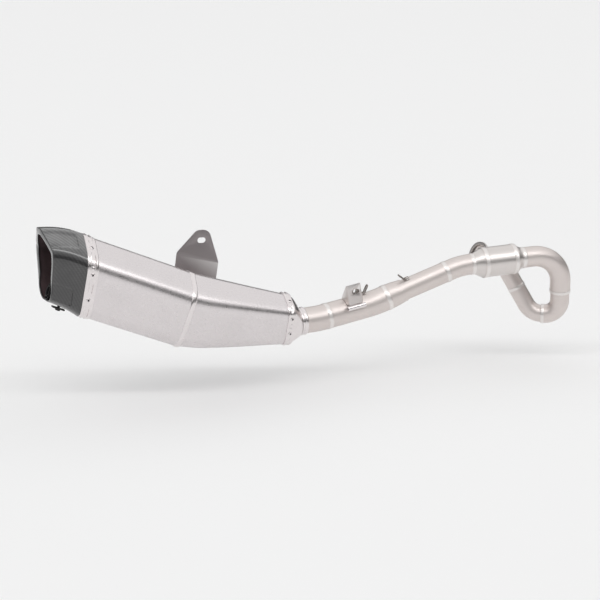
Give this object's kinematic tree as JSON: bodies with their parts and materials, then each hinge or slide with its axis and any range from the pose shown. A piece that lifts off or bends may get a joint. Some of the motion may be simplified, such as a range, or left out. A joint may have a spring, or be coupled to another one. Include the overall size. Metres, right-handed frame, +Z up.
{
  "type": "racing exhaust system",
  "caption": "Single-cylinder racing exhaust: looped header with expansion chamber, slip joint, link pipe, six-sided silencer with carbon end cap and pull-out baffle.",
  "frame": {"origin": "centre of the exhaust port opening", "axes": "+X forward along the bike, +Y inboard towards the bike's middle plane, +Z up"},
  "size_m": [0.9107, 0.2076, 0.2208],
  "materials": {
    "brushed_tube": "brushed, faint straw tint",
    "brushed_chamber": "brushed",
    "brushed_sleeve": "fine brushed, satin",
    "satin_band": "satin",
    "bracket_steel": "dull, darker",
    "hook_wire": "drawn wire",
    "carbon": "carbon weave under clear coat",
    "black_steel": "black, satin",
    "graphite": "pressed graphite",
    "glass_wool": "loose fibre"
  },
  "bodies": {
    "header": {"port_collar": "brushed_chamber", "header_tube_1": "brushed_tube", "header_tube_2": "brushed_tube", "header_tube_3": "brushed_tube", "header_tube_4": "brushed_tube", "chamber_front_cone": "brushed_chamber", "chamber_body": "brushed_chamber", "chamber_rear_cone": "brushed_chamber", "mid_tube_1": "brushed_tube", "mid_tube_2": "brushed_tube", "header_spring_hook": "hook_wire"},
    "slip_seal": {"slip_seal": "graphite"},
    "silencer": {"slip_reducer": "brushed_tube", "link_tube_1": "brushed_tube", "link_tube_2": "brushed_tube", "link_spring_hook": "hook_wire", "frame_bracket": "bracket_steel", "frame_bracket_nut": "satin_band", "frame_bracket_tube": "satin_band", "inlet_collar": "satin_band", "inlet_cap": "satin_band", "sleeve_front": "brushed_sleeve", "sleeve_rear": "brushed_sleeve", "sleeve_seam": "satin_band", "front_band": "satin_band", "front_band_rivet_1": "bracket_steel", "front_band_rivet_2": "bracket_steel", "front_band_rivet_3": "bracket_steel", "front_band_rivet_4": "bracket_steel", "front_band_rivet_5": "bracket_steel", "front_band_rivet_6": "bracket_steel", "front_band_rivet_7": "bracket_steel", "rear_band": "satin_band", "rear_band_rivet_1": "bracket_steel", "rear_band_rivet_2": "bracket_steel", "rear_band_rivet_3": "bracket_steel", "rear_band_rivet_4": "bracket_steel", "rear_band_rivet_5": "bracket_steel", "rear_band_rivet_6": "bracket_steel", "rear_band_rivet_7": "bracket_steel", "end_cap": "carbon", "outlet_tube": "black_steel", "outlet_plate": "black_steel", "perforated_core": "satin_band", "packing_wool": "glass_wool", "screw_boss": "black_steel", "hanger_bracket": "bracket_steel", "hanger_rivet_1": "bracket_steel", "hanger_rivet_2": "bracket_steel", "hanger_rivet_3": "bracket_steel"},
    "baffle": {"baffle_cup": "black_steel", "baffle_pipe": "black_steel"},
    "baffle_screw": {"baffle_screw": "black_steel"}
  },
  "joints": [
    {"name": "slip_slide", "type": "slide", "parent": "header", "child": "slip_seal", "axis": [-0.9367, 0, -0.3502], "range_m": [0, 0.03]},
    {"name": "slip_swivel", "type": "hinge", "parent": "slip_seal", "child": "silencer", "pos_m": [-0.15004, -0.05, -0.0424], "axis": [-0.9367, 0, -0.3502], "range_deg": [-20, 20]},
    {"name": "baffle_slide", "type": "slide", "parent": "silencer", "child": "baffle", "axis": [-0.9158, -0.145, 0.3746], "range_m": [0, 0.1]},
    {"name": "baffle_screw_slide", "type": "slide", "parent": "silencer", "child": "baffle_screw", "axis": [-0.37, -0.0586, -0.9272], "range_m": [0, 0.012]}
  ]
}
